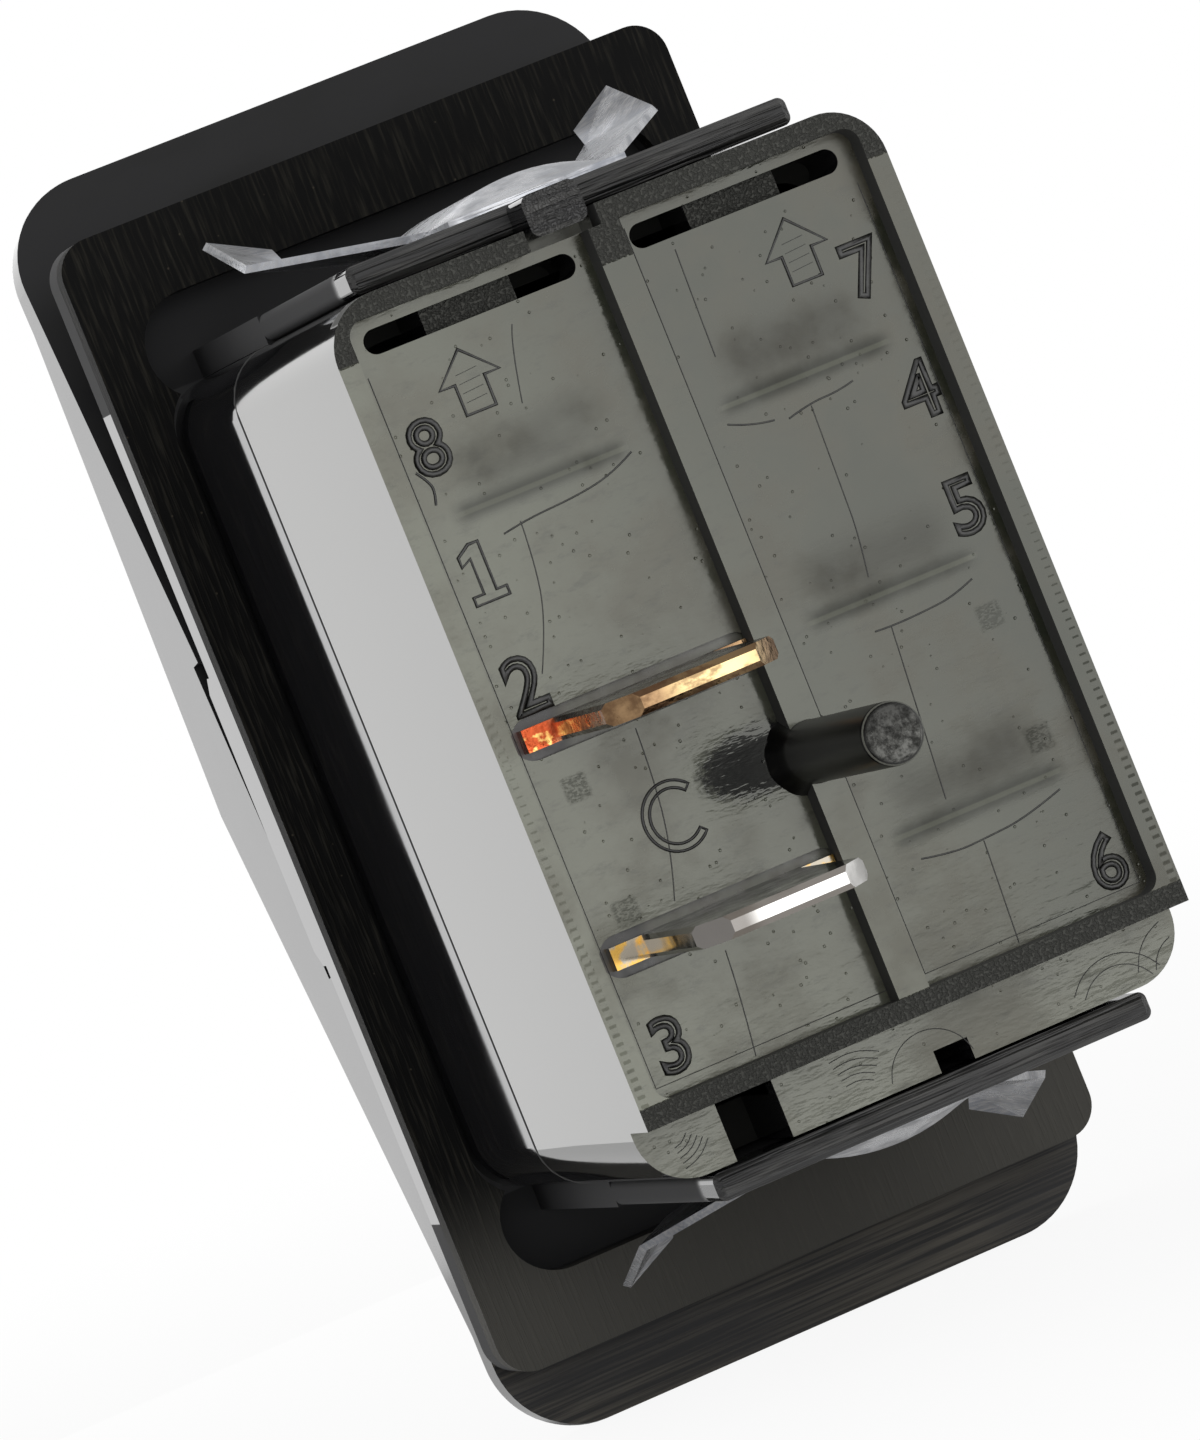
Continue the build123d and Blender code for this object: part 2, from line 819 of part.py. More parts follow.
os.makedirs("parts", exist_ok=True)
for name, shape in parts.items():
    export_step(shape, f"parts/{name}.step")
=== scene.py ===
import math
import bmesh
import bpy
from mathutils import Matrix, Vector, noise


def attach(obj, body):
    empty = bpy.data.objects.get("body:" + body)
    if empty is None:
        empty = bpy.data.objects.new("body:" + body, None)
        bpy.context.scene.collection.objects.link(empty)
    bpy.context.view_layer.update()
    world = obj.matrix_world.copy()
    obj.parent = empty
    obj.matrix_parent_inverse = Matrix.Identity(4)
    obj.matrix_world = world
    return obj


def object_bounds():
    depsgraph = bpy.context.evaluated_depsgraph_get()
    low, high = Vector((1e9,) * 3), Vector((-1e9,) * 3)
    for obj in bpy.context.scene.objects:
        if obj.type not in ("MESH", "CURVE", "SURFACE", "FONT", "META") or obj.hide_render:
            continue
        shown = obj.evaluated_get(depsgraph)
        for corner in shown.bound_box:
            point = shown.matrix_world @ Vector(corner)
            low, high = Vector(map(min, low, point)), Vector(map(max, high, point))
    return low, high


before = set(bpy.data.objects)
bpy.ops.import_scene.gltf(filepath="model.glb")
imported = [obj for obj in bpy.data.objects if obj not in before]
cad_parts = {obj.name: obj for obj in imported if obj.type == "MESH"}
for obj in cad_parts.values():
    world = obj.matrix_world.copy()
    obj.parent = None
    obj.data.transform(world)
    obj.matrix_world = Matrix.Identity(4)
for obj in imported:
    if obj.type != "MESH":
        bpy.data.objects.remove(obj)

cad_low, cad_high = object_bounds()


# ---------------------------------------------------------------- base
# Rear moulding of black glass-filled nylon, polished on its four walls and spark-textured
# on its end rims. Its floor is lapped satin, where soft light lifts it to a grey green; that
# grey green is painted into its colour as painted sheen, fading towards black along a slant.
mm = 0.001
rim_y = 26.0 * mm
floor_y = 24.9 * mm
ledge_y = 23.6 * mm
arrows_end_z = 13.9 * mm
ledge_end_z = -12.89 * mm
column_x = 5.0 * mm
terminal_pitch = 7.9 * mm

wall_black = (0.012, 0.012, 0.013)
# Painted sheen: the floor's and the ledge's grey greens, and the near black they fade from.
floor_sheen_dark = (0.008, 0.0105, 0.005)
floor_sheen_green = (0.126, 0.131, 0.100)
ledge_sheen_green = (0.110, 0.113, 0.090)
floor_brown = (0.040, 0.032, 0.020)
# Painted shade above and in the sink marks; the second is also the dark of flecks and pads.
shade_above_sink_brown = (0.011, 0.0095, 0.007)
fleck_pad_dark_and_sink_shade = (0.008, 0.0085, 0.0065)
crest_grey = (0.080, 0.083, 0.062)
# Painted reflection of the peg in the floor.
peg_reflection_black = (0.003, 0.003, 0.004)
# Painted shade in the slots; also the dark of the spark texture.
black_and_slot_shade = (0.002, 0.002, 0.002)
spark_black = (0.022, 0.022, 0.020)
resin_glint = (0.99, 1.0, 0.92, 1)


def finish(name, colour, roughness, metallic=0.0, specular=0.5):
    """A new material with its plain values on the shader's own sockets."""
    material = bpy.data.materials.new(name)
    material.use_nodes = True
    shader = material.node_tree.nodes["Principled BSDF"]
    shader.inputs["Base Color"].default_value = (*colour, 1)
    shader.inputs["Roughness"].default_value = roughness
    shader.inputs["Metallic"].default_value = metallic
    shader.inputs["Specular IOR Level"].default_value = specular
    return material


def wire(material, kind, inputs=None, output=0, **settings):
    """Adds one node, sets or links its inputs, and returns the output that the next one takes."""
    made = material.node_tree.nodes.new(kind)
    for key, value in settings.items():
        setattr(made, key, value)
    for key, value in (inputs or {}).items():
        if isinstance(value, bpy.types.NodeSocket):
            material.node_tree.links.new(value, made.inputs[key])
        else:
            made.inputs[key].default_value = value
    return made.outputs[output]


def into(material, socket, value):
    """Links a value to the material's shader."""
    shader = material.node_tree.nodes["Principled BSDF"]
    material.node_tree.links.new(value, shader.inputs[socket])


def along(material, source="Object"):
    """X, Y and Z of the place on the piece in metres, or of its normal."""
    place = wire(material, "ShaderNodeTexCoord", output=source)
    parts = material.node_tree.nodes.new("ShaderNodeSeparateXYZ")
    material.node_tree.links.new(place, parts.inputs[0])
    return parts.outputs


def sums(material, operation, a, b=0.0, c=0.0):
    """One sum of one, two or three values."""
    return wire(material, "ShaderNodeMath", {0: a, 1: b, 2: c}, operation=operation)


def product(material, first, *others):
    """All shares multiplied together."""
    for other in others:
        first = sums(material, "MULTIPLY", first, other)
    return first


def away(material, value, middle=0.0):
    """How far value lies from middle, to either side."""
    if middle:
        value = sums(material, "SUBTRACT", value, middle)
    return sums(material, "ABSOLUTE", value)


def ramp(material, value, low, high, start=0.0, end=1.0):
    """A soft step from start to end as value goes from low to high."""
    inputs = {"Value": value, "From Min": low, "From Max": high, "To Min": start, "To Max": end}
    return wire(material, "ShaderNodeMapRange", inputs, interpolation_type="SMOOTHSTEP")


def fade(material, value, low, high):
    """A soft step from 1 down to 0 as value goes from low to high."""
    return ramp(material, value, low, high, 1.0, 0.0)


def inside(material, value, low, high, soft):
    """1 where value lies between low and high, with soft ends."""
    rise = ramp(material, value, low - soft, low + soft)
    fall = fade(material, value, high - soft, high + soft)
    return product(material, rise, fall)


def stretched(material, size, stretch=(1, 1, 1)):
    """The place on the piece counted in sizes, which stretch lengthens along X, Y or Z."""
    place = wire(material, "ShaderNodeTexCoord", output="Object")
    scale = tuple(1 / (size * share) for share in stretch)
    return wire(material, "ShaderNodeMapping", {"Vector": place, "Scale": scale})


def grain(material, size, stretch=(1, 1, 1), detail=3.0, rough=0.5):
    """Cloudy grain from 0 to 1, of a size in metres."""
    place = stretched(material, size, stretch)
    inputs = {"Vector": place, "Scale": 1.0, "Detail": detail, "Roughness": rough}
    return wire(material, "ShaderNodeTexNoise", inputs)


def spots(material, spacing):
    """Distance from the nearest of many scattered spots, in spacings."""
    place = stretched(material, spacing)
    return wire(material, "ShaderNodeTexVoronoi", {"Vector": place, "Scale": 1.0})


def patchy(material, size, low, high, stretch=(1, 1, 1)):
    """A value that drifts between low and high in patches of a size."""
    return ramp(material, grain(material, size, stretch), 0.3, 0.7, low, high)


def between(material, share, plain, marked):
    """A value that goes from plain to marked with share."""
    return wire(material, "ShaderNodeMix", {"Factor": share, 2: plain, 3: marked})


def tint(material, share, plain, marked, strength=1.0):
    """A colour that goes from plain towards marked with share, at most as far as strength."""
    if strength < 1:
        share = product(material, share, strength)
    plain = plain if isinstance(plain, bpy.types.NodeSocket) else (*plain, 1)
    marked = marked if isinstance(marked, bpy.types.NodeSocket) else (*marked, 1)
    inputs = {"Factor": share, 6: plain, 7: marked}
    return wire(material, "ShaderNodeMix", inputs, output=2, data_type="RGBA")


def relief(material, height, depth, over=None):
    """Bump of a depth in metres, over another one where it is given."""
    inputs = {"Height": height, "Distance": depth, "Strength": 1.0}
    if over:
        inputs["Normal"] = over
    return wire(material, "ShaderNodeBump", inputs)


def dress(node, material):
    """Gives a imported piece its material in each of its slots."""
    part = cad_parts[node]
    for place in part.material_slots:
        place.material = material
    if not part.material_slots:
        part.data.materials.append(material)


base_plastic = finish("base_plastic", wall_black, 0.12, specular=0.7)
base_shader = base_plastic.node_tree.nodes["Principled BSDF"]
base_shader.inputs["Specular Tint"].default_value = resin_glint
x, y, z = along(base_plastic)
_, ny, _ = along(base_plastic, "Normal")
across = away(base_plastic, x)
facing_back = ramp(base_plastic, ny, 0.5, 0.9)
rim_start = (rim_y - 0.7 * mm, rim_y - 0.5 * mm)
on_floor = product(base_plastic, facing_back, fade(base_plastic, y, *rim_start))
on_rim = product(base_plastic, facing_back, ramp(base_plastic, y, *rim_start))
on_ledge = fade(base_plastic, y, ledge_y + 0.4 * mm, ledge_y + 0.8 * mm)

# Spark texture on both end rims and on the shallow webs of the slots by the arrows.
past_arrows = ramp(base_plastic, z, arrows_end_z - 0.05 * mm, arrows_end_z + 0.05 * mm)
past_ledge = fade(base_plastic, z, ledge_end_z - 0.03 * mm, ledge_end_z + 0.03 * mm)
past_ends = sums(base_plastic, "ADD", past_arrows, past_ledge)
web_level = inside(base_plastic, y, floor_y - 0.9 * mm, floor_y - 0.2 * mm, 0.1 * mm)
webs = product(base_plastic, facing_back, past_arrows, web_level)
sparked = sums(base_plastic, "MAXIMUM", product(base_plastic, on_rim, past_ends), webs)

# Sink marks over the blanked terminal places, painted as dark shade, each with a pale crest
# and painted shade above it.
in_row = sums(base_plastic, "WRAP", z, terminal_pitch / 2, -terminal_pitch / 2)
from_row = away(base_plastic, in_row)
from_column = away(base_plastic, across, column_x)
blank_column = fade(base_plastic, x, -0.5 * mm, 0.5 * mm)
blank_row = ramp(base_plastic, z, 4 * mm, 5 * mm)
above_ledge = ramp(base_plastic, y, ledge_y + 0.6 * mm, ledge_y + 0.9 * mm)
blank = sums(base_plastic, "MAXIMUM", blank_column, blank_row)
blank = product(base_plastic, on_floor, blank, above_ledge)
# Painted shade of each sink mark.
sink_shade = product(
    base_plastic, blank,
    fade(base_plastic, from_column, 2.7 * mm, 3.6 * mm),
    fade(base_plastic, from_row, 0.05 * mm, 0.62 * mm),
)
crest = product(
    base_plastic, blank,
    fade(base_plastic, from_column, 3.0 * mm, 3.4 * mm),
    fade(base_plastic, from_row, 0.05 * mm, 0.12 * mm),
)
shade_above_sink_grain = grain(base_plastic, 2.6 * mm, (1.6, 1, 1), detail=5, rough=0.45)
# Painted shade above each sink mark.
shade_above_sink = product(
    base_plastic, blank,
    fade(base_plastic, from_column, 1.7 * mm, 3.7 * mm),
    ramp(base_plastic, shade_above_sink_grain, 0.1, 0.5),
    inside(base_plastic, in_row, 0.3 * mm, 2.4 * mm, 0.9 * mm),
)

# Small rough knock-out pads in two rows, above and below the peg, near both side walls.
pads_middle_z = -4.35 * mm
pad_row = 2.25 * mm
from_pads = away(base_plastic, away(base_plastic, z, pads_middle_z), pad_row)
pad_grain = grain(base_plastic, 0.07 * mm, (1.8, 1, 1))
pad = product(
    base_plastic, on_floor,
    fade(base_plastic, from_pads, 0.36 * mm, 0.54 * mm),
    inside(base_plastic, across, 7.45 * mm, 8.35 * mm, 0.12 * mm),
    ramp(base_plastic, pad_grain, 0.4, 0.62, 0.35, 1.0),
)

# A painted reflection of the peg in the glossy floor: black beside the peg, and smooth there.
peg_reflection_x, peg_reflection_z = 1.5 * mm, -3.6 * mm
peg_reflection_long, peg_reflection_wide = 2.5 * mm, 1.3 * mm
peg_reflection_right = sums(base_plastic, "MULTIPLY_ADD", x, 1 / peg_reflection_long, -peg_reflection_x / peg_reflection_long)
peg_reflection_up = sums(base_plastic, "MULTIPLY_ADD", z, 1 / peg_reflection_wide, -peg_reflection_z / peg_reflection_wide)
peg_reflection_up = product(base_plastic, peg_reflection_up, peg_reflection_up)
peg_reflection = sums(base_plastic, "MULTIPLY_ADD", peg_reflection_right, peg_reflection_right, peg_reflection_up)
peg_reflection = sums(base_plastic, "MULTIPLY_ADD", grain(base_plastic, 0.16 * mm), 0.9, peg_reflection)
peg_reflection = product(base_plastic, on_floor, fade(base_plastic, peg_reflection, 1.0, 1.6))

# Colour: the floor's painted sheen, which changes slowly across it, then its stains, the
# painted shade of the sink marks, the peg's painted reflection, and the slots and keyway
# painted black as shade.
clouds = ramp(base_plastic, grain(base_plastic, 5 * mm, detail=6, rough=0.6), 0.38, 0.66)
fleck_grain = grain(base_plastic, 0.5 * mm, (2.5, 1, 1), detail=4, rough=0.7)
flecks = ramp(base_plastic, fleck_grain, 0.5, 0.75)
# Painted shade: the floors of the slots and keyway, below the ledge, are painted black.
slot_shade = fade(base_plastic, y, ledge_y - 0.7 * mm, ledge_y - 0.2 * mm)
slot_shade = product(base_plastic, facing_back, slot_shade)
slanted = sums(base_plastic, "MULTIPLY_ADD", z, -0.35, x)
# Painted sheen: from near black to grey green along a slant across the floor.
floor_sheen = ramp(base_plastic, slanted, -8 * mm, 14 * mm)
floor_colour = tint(base_plastic, floor_sheen, floor_sheen_dark, floor_sheen_green)
floor_colour = tint(base_plastic, on_ledge, floor_colour, ledge_sheen_green)
# Stains, painted shade and the peg's painted reflection, laid over the floor's colour.
for overlay, strength, overlay_colour in (
    (clouds, 0.6, floor_brown),
    (flecks, 0.5, fleck_pad_dark_and_sink_shade),
    (shade_above_sink, 0.68, shade_above_sink_brown),
    (sink_shade, 0.9, fleck_pad_dark_and_sink_shade),
    (crest, 0.55, crest_grey),
    (pad, 0.6, fleck_pad_dark_and_sink_shade),
    (peg_reflection, 1.0, peg_reflection_black),
    (slot_shade, 1.0, black_and_slot_shade),
):
    floor_colour = tint(base_plastic, overlay, floor_colour, overlay_colour, strength)
# The floor's colour, with its painted sheen and shade, goes only on faces that look back; the
# walls stay black.
colour = tint(base_plastic, facing_back, wall_black, floor_colour)
pebbles = ramp(base_plastic, grain(base_plastic, 0.13 * mm, detail=1), 0.36, 0.62)
spark_colour = tint(base_plastic, pebbles, black_and_slot_shade, spark_black)
into(base_plastic, "Base Color", tint(base_plastic, sparked, colour, spark_colour))

# Gloss: mirror walls, a satin floor that the sink marks, the shade above them and the pads
# dull, smooth where the peg's reflection is painted, and dull rib sides and slots.
satin = ramp(base_plastic, clouds, 0.0, 1.0, 0.11, 0.30)
for overlay, dulling in ((sink_shade, 0.35), (shade_above_sink, 0.32), (pad, 0.35)):
    satin = sums(base_plastic, "MULTIPLY_ADD", overlay, dulling, satin)
satin = between(base_plastic, peg_reflection, satin, 0.06)
satin = between(base_plastic, slot_shade, satin, 0.9)
rib_side = product(
    base_plastic,
    ramp(base_plastic, y, floor_y - 0.1 * mm, floor_y + 0.05 * mm),
    fade(base_plastic, across, 9.75 * mm, 9.85 * mm),
)
polish = patchy(base_plastic, 9 * mm, 0.04, 0.07, (1, 1, 3))
polish = between(base_plastic, rib_side, polish, 0.75)
gloss = between(base_plastic, facing_back, polish, satin)
into(base_plastic, "Roughness", between(base_plastic, sparked, gloss, 0.8))

# Relief: pits and flow ripples on the floor, sparks, and fine knurls along both side rims.
knurl_pitch = 0.32 * mm
knurl = sums(base_plastic, "SINE", product(base_plastic, z, 2 * math.pi / knurl_pitch))
side_rims = inside(base_plastic, across, 9.98 * mm, 10.24 * mm, 0.03 * mm)
ripple = grain(base_plastic, 0.9 * mm, (3, 1, 1), detail=4, rough=0.65)
pits = ramp(base_plastic, spots(base_plastic, 0.5 * mm), 0.05, 0.13)
surface = None
for height, where, depth in (
    (pits, on_floor, 0.02),
    (ripple, on_floor, 0.03),
    (pebbles, sparked, 0.18),
    (knurl, product(base_plastic, on_rim, side_rims), 0.007),
    (grain(base_plastic, 0.15 * mm), pad, 0.012),
):
    surface = relief(base_plastic, product(base_plastic, height, where), depth * mm, surface)
into(base_plastic, "Normal", surface)
dress("base", base_plastic)


# ---------------------------------------------------------------- mould lines
# Fine lines that the mould and the flow of the resin leave on the rear: weld lines, witness
# lines under the sink marks, the inner lines of the rims and the ripples on the ledge.
line_plastic = finish("line_plastic", (0.009, 0.009, 0.008), 0.4)
line_wear = ramp(line_plastic, grain(line_plastic, 0.4 * mm), 0.35, 0.7)
line_colour = tint(line_plastic, line_wear, (0.006, 0.006, 0.006), (0.022, 0.022, 0.019))
into(line_plastic, "Base Color", line_colour)


def mesh_of(curve):
    """The plain mesh of a thin ridge along a curve."""
    drawn = bpy.data.objects.new(curve.name + "_line", curve)
    bpy.context.scene.collection.objects.link(drawn)
    shaped = drawn.evaluated_get(bpy.context.evaluated_depsgraph_get())
    mesh = bpy.data.meshes.new_from_object(shaped)
    bpy.data.objects.remove(drawn)
    mesh.materials.clear()
    return mesh


def on_base(name, mesh, material):
    """A fine ridge that the mould leaves on the base, and that stays with it."""
    mesh.materials.append(material)
    piece = bpy.data.objects.new(name, mesh)
    bpy.context.scene.collection.objects.link(piece)
    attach(piece, "housing")


def fine_lines(name, lines, level, radius, material, closed=False, curved=False):
    """Thin rounded ridges along lines of X and Z in millimetres, at one level."""
    curve = bpy.data.curves.new(name, "CURVE")
    curve.dimensions = "3D"
    curve.bevel_depth = radius * mm
    curve.bevel_resolution = 1
    curve.resolution_u = 5
    for points in lines:
        line = curve.splines.new("NURBS" if curved else "POLY")
        line.points.add(len(points) - 1)
        for point, (px, pz) in zip(line.points, points):
            point.co = (px * mm, level, pz * mm, 1)
        line.use_cyclic_u = closed
        if curved:
            line.order_u = 3
            line.use_endpoint_u = True
    on_base(name, mesh_of(curve), material)


weld_lines = (
    ((6.2, 6.95), (6.3, 5.2), (6.75, 3.4), (7.5, 1.9)),
    ((5.2, -1.0), (5.25, -2.6), (5.6, -5.2), (6.2, -6.9)),
    ((5.2, -9.1), (5.3, -10.7), (5.6, -12.8)),
    ((3.9, 13.2), (4.2, 12.6), (4.6, 10.6)),
    ((-2.4, 13.5), (-2.35, 12.0), (-2.3, 9.6)),
    ((-4.8, 6.85), (-4.7, 3.8), (-4.65, 2.2), (-4.4, 0.7)),
    ((-4.5, -1.15), (-4.3, -3.6), (-4.0, -7.3)),
    ((-4.7, -9.1), (-4.6, -11.0), (-4.5, -12.8)),
)
witness_lines = (
    ((6.9, 6.75), (6.0, 6.92), (4.1, 7.0), (2.6, 7.25), (1.7, 7.7)),
    ((-1.8, 7.32), (-2.6, 6.95), (-3.4, 6.86)),
    ((-3.9, 6.72), (-4.8, 6.95), (-5.9, 6.95), (-6.5, 7.1)),
    ((-3.9, -1.1), (-4.5, -1.15), (-5.9, -1.1), (-7.0, -1.0), (-7.8, -0.7)),
    ((-2.4, -8.85), (-3.6, -9.1), (-4.8, -9.05), (-6.4, -8.95), (-7.9, -8.5)),
)
scribe = (((8.95, 9.75), (8.62, 9.3), (8.58, 8.9), (8.72, 8.5)),)
fine_lines("weld_lines", weld_lines, floor_y, 0.022, line_plastic, curved=True)
fine_lines("witness_lines", witness_lines, floor_y, 0.036, line_plastic, curved=True)
fine_lines("scribe", scribe, floor_y, 0.05, line_plastic, curved=True)

rim_line_x = 9.25
rim_line_far_x = -9.3
rim_line_low = -12.5
rim_line_high = 13.3
rib_line_x = -1.0
rib_line_high = 14.8
rim_lines = (
    ((rim_line_x, rim_line_high), (rim_line_x, rim_line_low), (-0.9, rim_line_low)),
    ((rib_line_x, rib_line_high), (rib_line_x, rim_line_low),
     (rim_line_far_x, rim_line_low), (rim_line_far_x, rim_line_high)),
)
fine_lines("rim_lines", rim_lines, floor_y, 0.02, line_plastic)

# Each fan of ripples: its middle, the angles where it starts and how far it turns, its radii.
ripple_fans = (
    (-10.3, -15.95, 15, 75, (0.75, 1.25, 1.9)),
    (-7.6, -16.4, 20, 132, (1.5, 1.9)),
    (2.4, -16.3, 75, 48, (1.25, 1.5, 1.75, 2.0, 2.25)),
    (9.2, -13.9, 215, 50, (0.8, 1.0, 1.2, 1.4, 1.6)),
    (-0.4, -15.95, 12, 156, (1.6,)),
)
ledge_low = -15.7
ledge_high = -13.75
corner_x = 8.35
corner_z = -13.95
corner_radius = 1.85


def on_ledge_face(px, pz):
    """Whether a place is on the ledge, inside its two rounded corners."""
    from_corner = math.hypot(max(abs(px) - corner_x, 0), min(pz - corner_z, 0))
    return ledge_low < pz < ledge_high and from_corner < corner_radius


ripples = []
for centre_x, centre_z, start, sweep, radii in ripple_fans:
    for radius in radii:
        turns = [math.radians(start + turn) for turn in range(0, sweep + 1, 12)]
        arc = [(centre_x + radius * math.cos(turn), centre_z + radius * math.sin(turn))
               for turn in turns]
        kept = [place for place in arc if on_ledge_face(*place)]
        if len(kept) > 2:
            ripples.append(kept)
fine_lines("ledge_ripples", ripples, ledge_y, 0.018, line_plastic, curved=True)


# ---------------------------------------------------------------- numbers
# Terminal numbers, the common mark and two arrows, cut into the mould as fine outlines, so
# that they stand proud of the floor as thin ridges of the base's own plastic.
number_height = 2.1 * mm
number_ridge = 0.085 * mm
number_places = (
    ("8", 8.2, 10.4), ("2", 8.2, 1.8), ("3", 8.2, -11.3), ("7", -8.4, 10.5),
    ("4", -8.55, 5.95), ("5", -8.55, 1.7), ("6", -8.5, -11.4),
)
ridge_plastic = finish("ridge_plastic", (0.014, 0.015, 0.013), 0.38)
ridge_wear = ramp(ridge_plastic, grain(ridge_plastic, 0.3 * mm), 0.35, 0.7)
ridge_colour = tint(ridge_plastic, ridge_wear, (0.004, 0.004, 0.004), (0.018, 0.018, 0.016))
into(ridge_plastic, "Base Color", ridge_colour)
into(ridge_plastic, "Normal", relief(ridge_plastic, grain(ridge_plastic, 0.1 * mm), 0.01 * mm))
facing_rear = Matrix(((-1, 0, 0), (0, 0, 1), (0, 1, 0)))


def figure_ridge(figure, place):
    """One outlined number on the floor, centred on a place."""
    name = "number_" + figure
    curve = bpy.data.curves.new(name, "FONT")
    curve.body = figure
    curve.fill_mode = "NONE"
    curve.bevel_depth = number_ridge / number_height
    curve.bevel_resolution = 1
    curve.resolution_u = 4
    mesh = mesh_of(curve)
    corners = [v.co for v in mesh.vertices]
    low = Vector((min(c.x for c in corners), min(c.y for c in corners), 0))
    high = Vector((max(c.x for c in corners), max(c.y for c in corners), 0))
    middle = (low + high) / 2
    size = number_height / (high.y - low.y)
    for v in mesh.vertices:
        v.co = facing_rear @ ((v.co - middle) * size) + place
    on_base(name, mesh, ridge_plastic)


for figure, place_x, place_z in number_places:
    figure_ridge(figure, Vector((place_x * mm, floor_y, place_z * mm)))


def drawn_ridge(name, centre_x, centre_z, outline, radius):
    """An outline given to the right and up from a centre, as seen from behind."""
    points = [(centre_x - right, centre_z + up) for right, up in outline]
    fine_lines(name, [points], floor_y, radius, ridge_plastic, closed=True)


drawn_ridge("number_1", 8.1, 5.85, (
    (-0.62, -1.03), (0.62, -1.03), (0.62, -0.72), (0.24, -0.72), (0.24, 1.03), (-0.12, 1.03),
    (-0.6, 0.72), (-0.6, 0.36), (-0.22, 0.55), (-0.22, -0.72), (-0.62, -0.72),
), 0.07)

letter_opening = 44
letter_outer = (1.16, 1.22)
letter_inner = (0.90, 0.96)


def letter_arc(half_width, half_height, turns):
    """One side of the open letter's stroke, through turns in degrees."""
    return [(half_width * math.cos(math.radians(turn)), half_height * math.sin(math.radians(turn)))
            for turn in turns]


round_out = range(letter_opening, 361 - letter_opening, 8)
round_back = range(360 - letter_opening, letter_opening - 1, -8)
letter_outline = letter_arc(*letter_outer, round_out) + letter_arc(*letter_inner, round_back)
drawn_ridge("letter_common", 5.05, -4.25, letter_outline, 0.06)

hatch_first = -0.75
hatch_step = -0.33
hatch_slant = -0.06
hatch_reach = 0.72
for side, tip_x, tip_z, head_half, head, shaft_half, length in (
    ("left", 6.0, 13.1, 1.12, 1.1, 0.55, 2.2),
    ("right", -6.36, 13.1, 1.15, 1.2, 0.56, 2.25),
):
    drawn_ridge("arrow_" + side, tip_x, tip_z, (
        (0, 0), (-head_half, -head), (-shaft_half, -head), (-shaft_half, -length),
        (shaft_half, -length), (shaft_half, -head), (head_half, -head),
    ), 0.075)
    hatch_half = shaft_half * hatch_reach
    hatches = []
    for step in range(4):
        row_z = tip_z + hatch_first + hatch_step * step
        hatches.append(((tip_x - hatch_half, row_z), (tip_x + hatch_half, row_z + hatch_slant)))
    fine_lines("arrow_hatch_" + side, hatches, floor_y, 0.013, line_plastic)


# ---------------------------------------------------------------- keying peg
# The base's peg keys the wiring connector. It comes out of the mould dark and smooth, with
# a flare at its foot, and its gate was torn off rough at the tip.
# Sizes in millimetres, with the radius and level of each ring from the foot to the tip.
peg_z = -4.0
peg_sides = 40
peg_foot_y = 24.88
peg_tip_y = 35.86
torn_radius = 0.9
flared_below = 25
peg_profile = (
    (1.45, peg_foot_y), (1.44, 24.93), (1.34, 25.2), (1.22, 25.6), (1.11, 26.0),
    (1.085, 26.3), (1.083, 29.0), (1.083, 32.0), (1.083, 35.3), (1.075, 35.5),
    (0.98, 35.68), (0.88, 35.79), (0.74, 35.82), (0.58, 35.82), (0.42, 35.82),
    (0.26, 35.82), (0.12, 35.82),
)
peg_plastic = finish("peg_plastic", (0.004, 0.004, 0.004), 0.3, specular=0.12)
_, y, z = along(peg_plastic)
torn_grain = grain(peg_plastic, 0.35 * mm, detail=5, rough=0.7)
torn = ramp(peg_plastic, torn_grain, 0.34, 0.6)
tip = ramp(peg_plastic, y, 35.62 * mm, 35.78 * mm)
pale_half = ramp(peg_plastic, z, -3.2 * mm, -4.4 * mm, 0.45, 1.0)
scratches = ramp(peg_plastic, grain(peg_plastic, 0.18 * mm, (1, 9, 1)), 0.55, 0.75)
peg_black = tint(peg_plastic, scratches, (0.003, 0.003, 0.003), (0.016, 0.014, 0.012), 0.5)
torn_grey = tint(peg_plastic, torn, (0.020, 0.020, 0.018), (0.15, 0.15, 0.14))
peg_colour = tint(peg_plastic, product(peg_plastic, tip, pale_half), peg_black, torn_grey)
into(peg_plastic, "Base Color", peg_colour)
into(peg_plastic, "Roughness", ramp(peg_plastic, tip, 0.0, 1.0, 0.3, 0.65))
torn_tip = product(peg_plastic, torn, tip)
into(peg_plastic, "Normal", relief(peg_plastic, torn_tip, 0.06 * mm))

peg_points = [(0, peg_foot_y, peg_z)]
for radius, level_y in peg_profile:
    for step in range(peg_sides):
        turn = 2 * math.pi * step / peg_sides
        right, up = math.cos(turn), math.sin(turn)
        spot = Vector((radius * right, level_y, peg_z + radius * up))
        if radius < torn_radius:
            spot.y += 0.10 * abs(noise.noise(spot * 2.3)) + 0.04 * abs(noise.noise(spot * 6.1))
        if level_y < flared_below:
            flare = 1 + 0.05 * noise.noise(Vector((3 * right, 3 * up, 0)))
            spot.x, spot.z = spot.x * flare, peg_z + (spot.z - peg_z) * flare
        peg_points.append(tuple(spot))
peg_points.append((0, peg_tip_y, peg_z))

